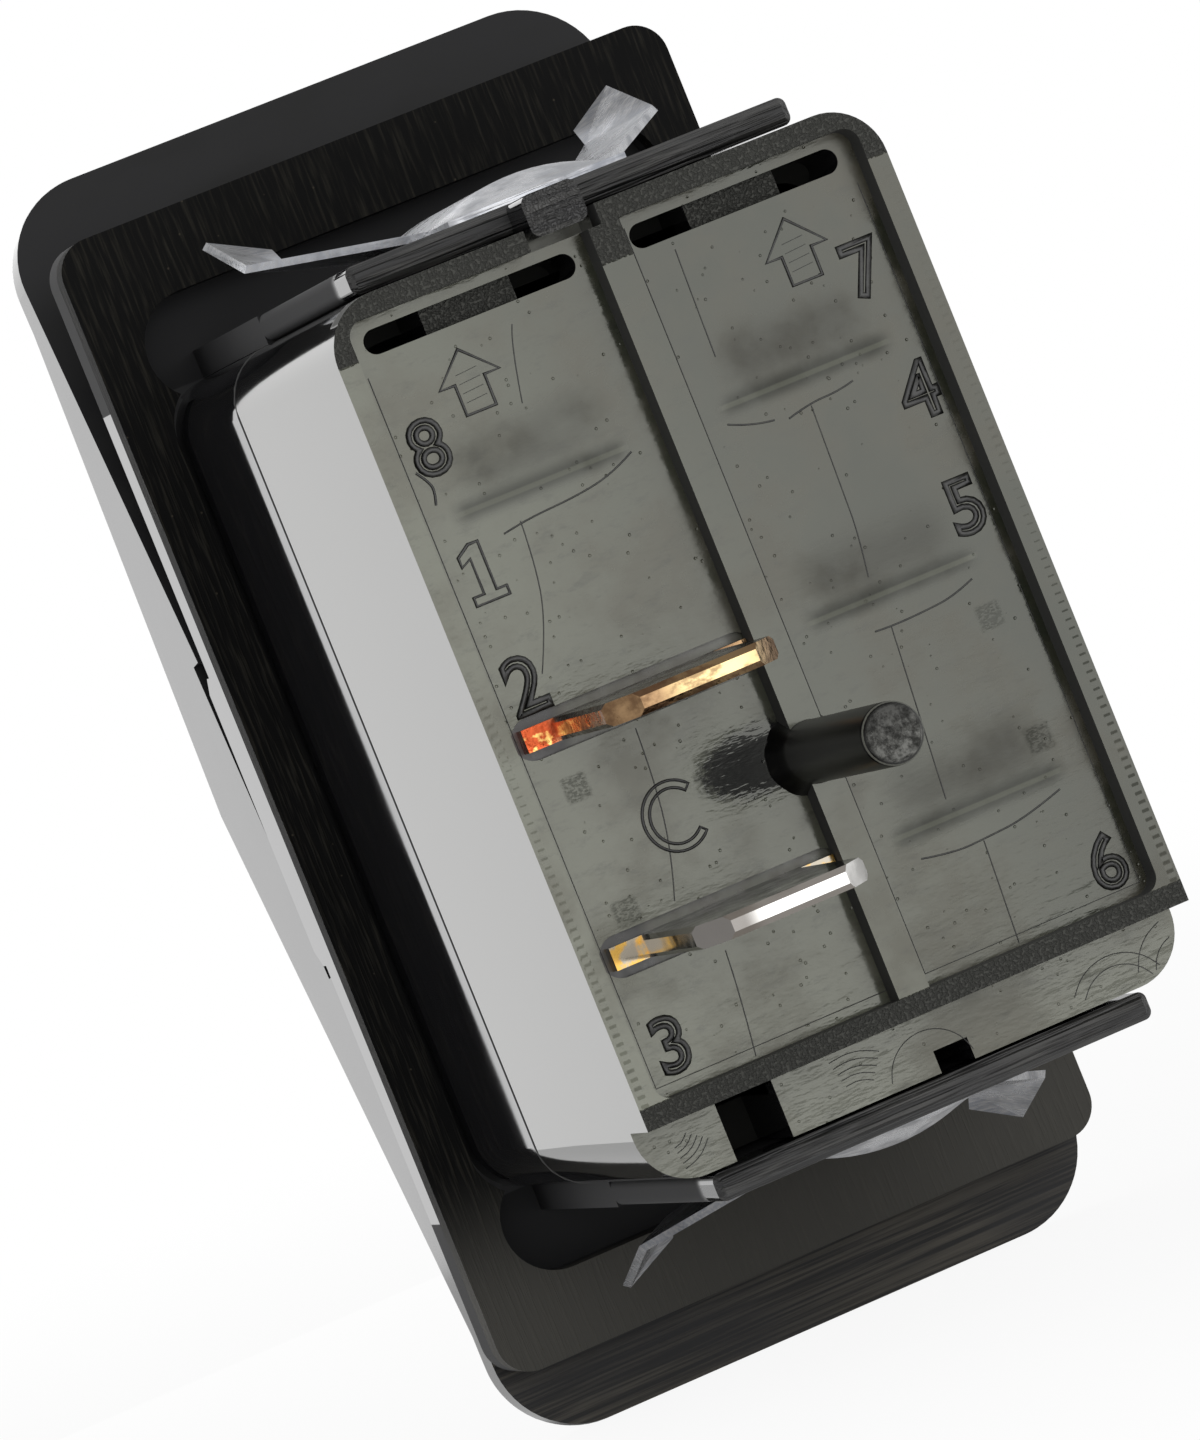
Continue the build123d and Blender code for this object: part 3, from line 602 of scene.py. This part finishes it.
peg_faces = []
tip_point = len(peg_points) - 1
last_ring = 1 + (len(peg_profile) - 1) * peg_sides
for step in range(peg_sides):
    after = (step + 1) % peg_sides
    peg_faces.append((0, 1 + after, 1 + step))
    peg_faces.append((last_ring + step, last_ring + after, tip_point))
    for ring in range(1, last_ring, peg_sides):
        a, b = ring + step, ring + after
        peg_faces.append((a, b, b + peg_sides, a + peg_sides))
peg_mesh = bpy.data.meshes.new("peg_skin")
peg_mesh.from_pydata([tuple(c * mm for c in point) for point in peg_points], [], peg_faces)
shaper = bmesh.new()
shaper.from_mesh(peg_mesh)
bmesh.ops.recalc_face_normals(shaper, faces=shaper.faces)
shaper.to_mesh(peg_mesh)
shaper.free()
peg_mesh.shade_smooth()
peg_mesh.materials.append(peg_plastic)
peg_skin = bpy.data.objects.new("peg_skin", peg_mesh)
bpy.context.scene.collection.objects.link(peg_skin)
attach(peg_skin, "housing")


# ---------------------------------------------------------------- bracket
# Front moulding of the same nylon: flange, glossy collar and the two end walls that the
# base snaps between. The end walls' back edges and the key tab are left rough by the tool.
collar_gloss_black = (0.009, 0.009, 0.010)
edge_dark = (0.002, 0.002, 0.002)
edge_pale = (0.050, 0.049, 0.046)
edge_blotch = (0.006, 0.006, 0.007)
end_wall_z = 16.0 * mm

bracket_plastic = finish("bracket_plastic", (0.006, 0.006, 0.006), 0.14, specular=0.45)
_, y, z = along(bracket_plastic)
_, ny, _ = along(bracket_plastic, "Normal")
facing_back = ramp(bracket_plastic, ny, 0.4, 0.8)
on_tab = product(bracket_plastic, facing_back, ramp(bracket_plastic, y, 25.2 * mm, 25.4 * mm))
on_edge = product(bracket_plastic, facing_back, ramp(bracket_plastic, y, 20 * mm, 21 * mm))
drawn_grain = grain(bracket_plastic, 0.16 * mm, (30, 1, 1), detail=2)
drawn = ramp(bracket_plastic, drawn_grain, 0.35, 0.65)
blotches = ramp(bracket_plastic, grain(bracket_plastic, 1.4 * mm, (2, 1, 1), detail=4), 0.4, 0.7)
edge_colour = tint(bracket_plastic, drawn, edge_dark, edge_pale, 0.8)
edge_colour = tint(bracket_plastic, blotches, edge_colour, edge_blotch, 0.6)
bracket_colour = tint(bracket_plastic, on_edge, collar_gloss_black, edge_colour)
into(bracket_plastic, "Base Color", bracket_colour)

outer_side = ramp(
    bracket_plastic, away(bracket_plastic, z), end_wall_z - 0.03 * mm, end_wall_z + 0.02 * mm)
dull = product(bracket_plastic, outer_side, fade(bracket_plastic, y, 21.2 * mm, 22.2 * mm))
gloss = patchy(bracket_plastic, 6 * mm, 0.03, 0.06)
for where, dulled in ((facing_back, 0.55), (dull, 0.8), (on_tab, 0.42)):
    gloss = between(bracket_plastic, where, gloss, dulled)
into(bracket_plastic, "Roughness", gloss)

pebbles = ramp(bracket_plastic, grain(bracket_plastic, 0.13 * mm, detail=1), 0.36, 0.62)
surface = relief(bracket_plastic, product(bracket_plastic, drawn, on_edge), 0.07 * mm)
surface = relief(bracket_plastic, product(bracket_plastic, pebbles, on_tab), 0.06 * mm, surface)
into(bracket_plastic, "Normal", surface)
dress("bracket", bracket_plastic)

# Parting line where the base's open edge meets the collar.
seam_y = 9.6 * mm
collar_half = 10.35
collar_end = 15.95
collar_corner = 2.0
parting = []
for sign_x, sign_z, first in ((1, 1, 0), (-1, 1, 90), (-1, -1, 180), (1, -1, 270)):
    for turn in range(first, first + 91, 15):
        right, up = math.cos(math.radians(turn)), math.sin(math.radians(turn))
        parting.append((
            sign_x * (collar_half - collar_corner) + collar_corner * right,
            sign_z * (collar_end - collar_corner) + collar_corner * up,
        ))
fine_lines("parting_line", [parting], seam_y, 0.035, line_plastic, closed=True)


# ---------------------------------------------------------------- panel gasket
# Die-cut sheet of black rubber foam that seals the flange on the panel, with the fine
# streaks of its calendering along its length, pale specks of filler, and painted sheen that
# lightens its lower end.
rubber_dark = (0.0025, 0.0025, 0.0025)
rubber_streak = (0.020, 0.0185, 0.015)
rubber_deep = (0.002, 0.002, 0.002)
rubber_lower_sheen = (0.120, 0.116, 0.104)
filler_speck = (0.07, 0.06, 0.045)

gasket_rubber = finish("gasket_rubber", (0.004, 0.004, 0.004), 0.65, specular=0.08)
_, _, z = along(gasket_rubber)
streaks = ramp(gasket_rubber, grain(gasket_rubber, 0.14 * mm, (1, 1, 16)), 0.45, 0.72)
wide_streaks = ramp(gasket_rubber, grain(gasket_rubber, 1.1 * mm, (1, 1, 5)), 0.4, 0.7)
specks = fade(gasket_rubber, spots(gasket_rubber, 0.8 * mm), 0.03, 0.07)
# Painted sheen: lighter towards the lower end.
lower_end_sheen = fade(gasket_rubber, z, -20 * mm, -14 * mm)
rubber = tint(gasket_rubber, streaks, rubber_dark, rubber_streak)
rubber = tint(gasket_rubber, wide_streaks, rubber, rubber_deep, 0.5)
rubber = tint(gasket_rubber, lower_end_sheen, rubber, rubber_lower_sheen, 0.6)
rubber = tint(gasket_rubber, specks, rubber, filler_speck, 0.6)
into(gasket_rubber, "Base Color", rubber)
into(gasket_rubber, "Normal", relief(gasket_rubber, streaks, 0.02 * mm))
dress("panel_gasket", gasket_rubber)


# ---------------------------------------------------------------- rocker
# Hollow rocker of black polycarbonate. Its long sides are polished; its ends are satin,
# and the back of the lower one is scuffed in fine lines across.
rocker_black = (0.009, 0.009, 0.010)
rocker_worn = (0.015, 0.015, 0.014)
scuff_brown = (0.085, 0.078, 0.066)

rocker_plastic = finish("rocker_plastic", (0.010, 0.010, 0.010), 0.3, specular=0.25)
_, _, z = along(rocker_plastic)
nx, ny, _ = along(rocker_plastic, "Normal")
on_side = ramp(rocker_plastic, away(rocker_plastic, nx), 0.4, 0.8)
scuffed = product(
    rocker_plastic,
    ramp(rocker_plastic, ny, 0.1, 0.3),
    fade(rocker_plastic, z, -20 * mm, -18 * mm),
)
scuffs = ramp(rocker_plastic, grain(rocker_plastic, 0.11 * mm, (60, 1, 1)), 0.38, 0.68)
patches = ramp(rocker_plastic, grain(rocker_plastic, 3 * mm, (3, 1, 1), detail=4), 0.35, 0.7)
scuff_share = product(
    rocker_plastic, scuffed, scuffs, ramp(rocker_plastic, patches, 0.0, 1.0, 0.45, 1.0))
rocker_colour = tint(rocker_plastic, patches, rocker_black, rocker_worn, 0.5)
rocker_colour = tint(rocker_plastic, scuff_share, rocker_colour, scuff_brown)
into(rocker_plastic, "Base Color", rocker_colour)
end_gloss = ramp(rocker_plastic, patches, 0.0, 1.0, 0.5, 0.62)
side_gloss = patchy(rocker_plastic, 5 * mm, 0.09, 0.14)
into(rocker_plastic, "Roughness", between(rocker_plastic, on_side, end_gloss, side_gloss))
scuff_height = product(rocker_plastic, scuffs, scuffed)
into(rocker_plastic, "Normal", relief(rocker_plastic, scuff_height, 0.008 * mm))
dress("rocker", rocker_plastic)


# ---------------------------------------------------------------- spring clips
# Snap-in clips, blanked and bent from spring steel, with a bluish temper and fine rolling
# lines. Painted shade darkens the lower clip, and the lips of both are painted darker than
# their middles as shade.
steel_bright = (0.37, 0.38, 0.405)
steel_blue = (0.24, 0.25, 0.275)
steel_shade = (0.05, 0.052, 0.06)
steel_lip_shade = (0.09, 0.094, 0.104)
steel_rolled = (0.36, 0.34, 0.31)

clip_steel = finish("clip_steel", (0.42, 0.45, 0.50), 0.3, metallic=1.0)
_, _, z = along(clip_steel)
temper = ramp(clip_steel, grain(clip_steel, 1.8 * mm, detail=6, rough=0.62), 0.36, 0.66)
rolling = ramp(clip_steel, grain(clip_steel, 0.12 * mm, (14, 1, 1)), 0.35, 0.7)
# Painted shade on the lower clip.
lower_clip_shade = ramp(clip_steel, z, -12 * mm, 0.0, 0.7, 0.0)
# Painted shade on the lips of both clips.
lip_shade = ramp(clip_steel, away(clip_steel, z), 18.7 * mm, 19.3 * mm, 0.0, 0.85)
blued = tint(clip_steel, temper, steel_bright, steel_blue)
blued = tint(clip_steel, lower_clip_shade, blued, steel_shade)
blued = tint(clip_steel, lip_shade, blued, steel_lip_shade)
into(clip_steel, "Base Color", tint(clip_steel, rolling, blued, steel_rolled, 0.25))
into(clip_steel, "Roughness", ramp(clip_steel, temper, 0.0, 1.0, 0.26, 0.46))
into(clip_steel, "Normal", relief(clip_steel, rolling, 0.006 * mm))
dress("clip_top", clip_steel)
dress("clip_bottom", clip_steel)


# ---------------------------------------------------------------- terminals
# Blades blanked from brass strip. Terminal 2 is bare, golden along its edge and flushed
# copper red at its shoulders, with painted highlights there; terminal 3 keeps its silver
# plate, worn to brass in places, with a painted highlight along its edge and a painted
# glint on its broad face. On both, the bevels are painted dark as shade and the broad faces
# dark as a painted reflection.
brass_tarnish = (0.30, 0.19, 0.10)
brass_brown = (0.12, 0.068, 0.036)
brass_golden = (0.72, 0.54, 0.27)
bevel_shade_brown = (0.07, 0.035, 0.018)
copper_red = (0.46, 0.085, 0.03)
copper_highlight = (0.80, 0.50, 0.16)
broad_reflection_brown = (0.055, 0.035, 0.022)

brass = finish("brass", (0.80, 0.55, 0.28), 0.2, metallic=1.0)
x, y, _ = along(brass)
_, _, nz = along(brass, "Normal")
up_or_down = away(brass, nz)
# Painted shade on the bevels, and a painted reflection of the dark surroundings on the broad
# faces.
bevel_shade = ramp(brass, up_or_down, 0.15, 0.5)
broad_dark_reflection = ramp(brass, up_or_down, 0.7, 0.95)
tarnish_grain = grain(brass, 0.9 * mm, (1.5, 1.5, 1), detail=6, rough=0.65)
tarnish = ramp(brass, tarnish_grain, 0.36, 0.64)
# Golden in a band across the middle of the edge, less where tarnish lies.
middle_golden_band = product(
    brass,
    inside(brass, x, 2.7 * mm, 5.6 * mm, 0.9 * mm),
    ramp(brass, tarnish, 0.2, 0.9, 1.0, 0.25),
)
flush = product(
    brass,
    fade(brass, y, 25.9 * mm, 26.4 * mm),
    ramp(brass, x, 7.6 * mm, 8.3 * mm),
)
# Painted highlights on the copper red shoulders.
shoulder_highlights = ramp(brass, grain(brass, 0.3 * mm, detail=2), 0.56, 0.68)
golden = tint(brass, middle_golden_band, tint(brass, tarnish, brass_tarnish, brass_brown), brass_golden)
golden = tint(brass, bevel_shade, golden, bevel_shade_brown, 0.85)
golden = tint(brass, flush, golden, tint(brass, shoulder_highlights, copper_red, copper_highlight))
into(brass, "Base Color", tint(brass, broad_dark_reflection, golden, broad_reflection_brown, 0.8))
into(brass, "Roughness", ramp(brass, tarnish, 0.0, 1.0, 0.16, 0.34))
into(brass, "Normal", relief(brass, grain(brass, 0.35 * mm), 0.03 * mm))
dress("terminal_2", brass)

silver_highlight = (0.66, 0.65, 0.63)
silver_dull = (0.17, 0.16, 0.15)
silver_bevel_shade = (0.16, 0.14, 0.12)
shoulder_grey = (0.30, 0.27, 0.22)
shoulder_gold = (0.50, 0.30, 0.07)
silver_broad_reflection = (0.024, 0.018, 0.013)
silver_glint = (0.85, 0.84, 0.80)

silver_plate = finish("silver_plate", (0.88, 0.86, 0.82), 0.15, metallic=1.0)
x, y, _ = along(silver_plate)
_, _, nz = along(silver_plate, "Normal")
up_or_down = away(silver_plate, nz)
bevel_shade = ramp(silver_plate, up_or_down, 0.15, 0.5)
broad_dark_reflection = ramp(silver_plate, up_or_down, 0.7, 0.95)
# Painted highlight: bright silver, which gives way to dull silver from 5.5 to 6.5 mm across.
past_highlight = ramp(silver_plate, x, 5.5 * mm, 6.5 * mm)
shoulder = fade(silver_plate, y, 25.8 * mm, 26.2 * mm)
worn = ramp(silver_plate, grain(silver_plate, 0.45 * mm), 0.42, 0.56)
# Painted glint on the broad face.
broad_face_glint = product(
    silver_plate,
    inside(silver_plate, x, 3.8 * mm, 4.9 * mm, 0.5 * mm),
    inside(silver_plate, y, 30.9 * mm, 31.3 * mm, 0.2 * mm),
)
silver = tint(silver_plate, past_highlight, silver_highlight, silver_dull)
silver = tint(silver_plate, bevel_shade, silver, silver_bevel_shade, 0.85)
worn_gold = tint(silver_plate, worn, shoulder_grey, shoulder_gold)
silver = tint(silver_plate, shoulder, silver, worn_gold)
# Painted reflection of the dark surroundings on the broad faces.
broad_reflection_colour = tint(silver_plate, broad_face_glint, silver_broad_reflection, silver_glint)
into(silver_plate, "Base Color", tint(silver_plate, broad_dark_reflection, silver, broad_reflection_colour))
into(silver_plate, "Roughness", patchy(silver_plate, 0.8 * mm, 0.08, 0.22))
dress("terminal_3", silver_plate)


# ---------------------------------------------------------------- terminal seals
# Potting of dark epoxy round each blade, poured flush in its slot. It dries satin, green
# brown where it pools under the blade, and is painted black as shade by the blade's shoulder.
pool_green = (0.085, 0.088, 0.062)
pool_brown = (0.060, 0.056, 0.038)
shoulder_shade_black = (0.008, 0.007, 0.006)
shoulder_x = (7.2 * mm, 7.8 * mm)

epoxy = finish("epoxy", (0.02, 0.019, 0.017), 0.2, specular=0.7)
x, _, _ = along(epoxy)
pool_patches = ramp(epoxy, grain(epoxy, 0.7 * mm), 0.35, 0.65)
pooled = tint(epoxy, pool_patches, pool_green, pool_brown)
# Painted shade: black by the blade's shoulder.
into(epoxy, "Base Color", tint(epoxy, ramp(epoxy, x, *shoulder_x), pooled, shoulder_shade_black))
into(epoxy, "Roughness", patchy(epoxy, 0.5 * mm, 0.26, 0.4))
dress("terminal_seal_2", epoxy)
dress("terminal_seal_3", epoxy)


# ---------------------------------------------------------------- body seal
# Ring of black rubber, moulded to the seam and squeezed between the bracket and the base
# when they snap together.
ring_rubber = finish("ring_rubber", (0.02, 0.02, 0.02), 0.6, specular=0.2)
into(ring_rubber, "Roughness", patchy(ring_rubber, 0.4 * mm, 0.5, 0.7))
dress("base_seal", ring_rubber)


# ---------------------------------------------------------------- contacts
# Contact arm bent from copper strip, which rocks on terminal 2's cradle. Silver contacts
# are riveted to it and to the foot of terminal 3.
arm_copper = finish("arm_copper", (0.72, 0.40, 0.26), 0.3, metallic=1.0)
into(arm_copper, "Roughness", patchy(arm_copper, 0.5 * mm, 0.2, 0.4))
dress("contact_arm", arm_copper)
rivet_silver = finish("rivet_silver", (0.86, 0.85, 0.83), 0.25, metallic=1.0)
into(rivet_silver, "Roughness", patchy(rivet_silver, 0.4 * mm, 0.18, 0.35))
dress("fixed_contact", rivet_silver)
dress("moving_contact", rivet_silver)


# ---------------------------------------------------------------- actuator
# Stem and plunger moulded in white acetal, which sit in the rocker, with a coiled steel
# spring that presses the plunger on the contact arm.
acetal = finish("acetal", (0.72, 0.70, 0.66), 0.35)
into(acetal, "Roughness", patchy(acetal, 0.7 * mm, 0.28, 0.42))
dress("actuator", acetal)
dress("plunger", acetal)
spring_steel = finish("spring_steel", (0.62, 0.62, 0.63), 0.25, metallic=1.0)
into(spring_steel, "Roughness", patchy(spring_steel, 0.3 * mm, 0.2, 0.35))
dress("plunger_spring", spring_steel)


# ---------------------------------------------------------------- light and floor
# Pale floor that the switch stands on, in even light all round. One soft box lights the
# terminal side, and a panel in front of the switch is mirrored in its polished wall.
floor_half = 3.0
floor_z = cad_low[2]
sky_light = 0.5


def plain_view(owner):
    """1 for what the camera sees straight, in a mirror or through glass, and 0 for light."""
    seen, mirrored, through = (
        wire(owner, "ShaderNodeLightPath", output=kind)
        for kind in ("Is Camera Ray", "Is Glossy Ray", "Is Transmission Ray")
    )
    return sums(owner, "MAXIMUM", sums(owner, "MAXIMUM", seen, mirrored), through)


floor_paint = bpy.data.materials.new("floor_paint")
floor_paint.use_nodes = True
floor_paint.node_tree.nodes.clear()
paint = wire(floor_paint, "ShaderNodeBsdfDiffuse", {"Color": (0.9, 0.9, 0.9, 1)})
glow = wire(floor_paint, "ShaderNodeEmission", {"Color": (1, 1, 1, 1), "Strength": 1.0})
floor_place = wire(floor_paint, "ShaderNodeTexCoord", output="Object")
from_middle = wire(
    floor_paint, "ShaderNodeVectorMath", {0: floor_place}, output=1, operation="LENGTH")
white_share = ramp(floor_paint, from_middle, 0.04, 0.2, 0.92, 1.0)
white_share = product(floor_paint, plain_view(floor_paint), white_share)
floor_look = wire(floor_paint, "ShaderNodeMixShader", {0: white_share, 1: paint, 2: glow})
paint_end = floor_paint.node_tree.nodes.new("ShaderNodeOutputMaterial")
floor_paint.node_tree.links.new(floor_look, paint_end.inputs["Surface"])

floor_corners = [
    (side_x * floor_half, side_y * floor_half, floor_z)
    for side_x, side_y in ((-1, -1), (1, -1), (1, 1), (-1, 1))
]
floor_mesh = bpy.data.meshes.new("floor")
floor_mesh.from_pydata(floor_corners, [], [(0, 1, 2, 3)])
floor_mesh.materials.append(floor_paint)
floor = bpy.data.objects.new("floor", floor_mesh)
bpy.context.scene.collection.objects.link(floor)

studio = bpy.data.worlds.new("studio")
bpy.context.scene.world = studio
studio.use_nodes = True
studio.node_tree.nodes.clear()
sky_range = {"Value": plain_view(studio), "To Min": sky_light, "To Max": 1.0}
sky_strength = wire(studio, "ShaderNodeMapRange", sky_range)
sky = wire(studio, "ShaderNodeBackground", {"Strength": sky_strength, "Color": (1, 1, 1, 1)})
sky_end = studio.node_tree.nodes.new("ShaderNodeOutputWorld")
studio.node_tree.links.new(sky, sky_end.inputs["Surface"])


def softbox(name, place, aim, width, height, radiance):
    """An evenly lit panel of a given brightness that the camera doesn't see."""
    lamp = bpy.data.lights.new(name, "AREA")
    lamp.shape = "RECTANGLE"
    lamp.size = width
    lamp.size_y = height
    lamp.energy = radiance * math.pi * width * height
    lamp_object = bpy.data.objects.new(name, lamp)
    bpy.context.scene.collection.objects.link(lamp_object)
    lamp_object.location = place
    towards = Vector(aim) - Vector(place)
    lamp_object.rotation_euler = towards.to_track_quat("-Z", "Y").to_euler()
    lamp_object.visible_camera = False


softbox(
    "key_box", place=(-0.022, 0.105, 0.018), aim=(-0.022, 0.0, 0.018),
    width=0.13, height=0.085, radiance=1.6)
softbox(
    "side_panel", place=(0.045, -0.085, 0.03), aim=(0.045, 0.0, 0.03),
    width=0.13, height=0.13, radiance=0.66)


# ---------------------------------------------------------------- camera
# Long lens behind the switch, a little to the terminals' side, held with the switch leaning
# to the left in the frame.
aim = Vector((3.15, 13.0, -0.69)) * mm
distance = 292.98 * mm
azimuth = math.radians(165.447)
elevation = math.radians(1.891)
roll = math.radians(-22.06)
focal_length = 249.6
film_width = 36

back = Vector((
    math.sin(azimuth) * math.cos(elevation),
    -math.cos(azimuth) * math.cos(elevation),
    math.sin(elevation),
))
level_right = Vector((0, 0, 1)).cross(back).normalized()
level_up = back.cross(level_right)
up = level_up * math.cos(roll) - level_right * math.sin(roll)
right = up.cross(back)
stand = aim + back * distance
lens = bpy.data.cameras.new("camera")
lens.sensor_fit = "HORIZONTAL"
lens.sensor_width = film_width
lens.lens = focal_length
lens.clip_start = 0.01
camera = bpy.data.objects.new("camera", lens)
bpy.context.scene.collection.objects.link(camera)
camera.matrix_world = Matrix((
    (right.x, up.x, back.x, stand.x),
    (right.y, up.y, back.y, stand.y),
    (right.z, up.z, back.z, stand.z),
    (0, 0, 0, 1),
))
bpy.context.scene.camera = camera
bpy.context.scene.view_settings.view_transform = "Standard"
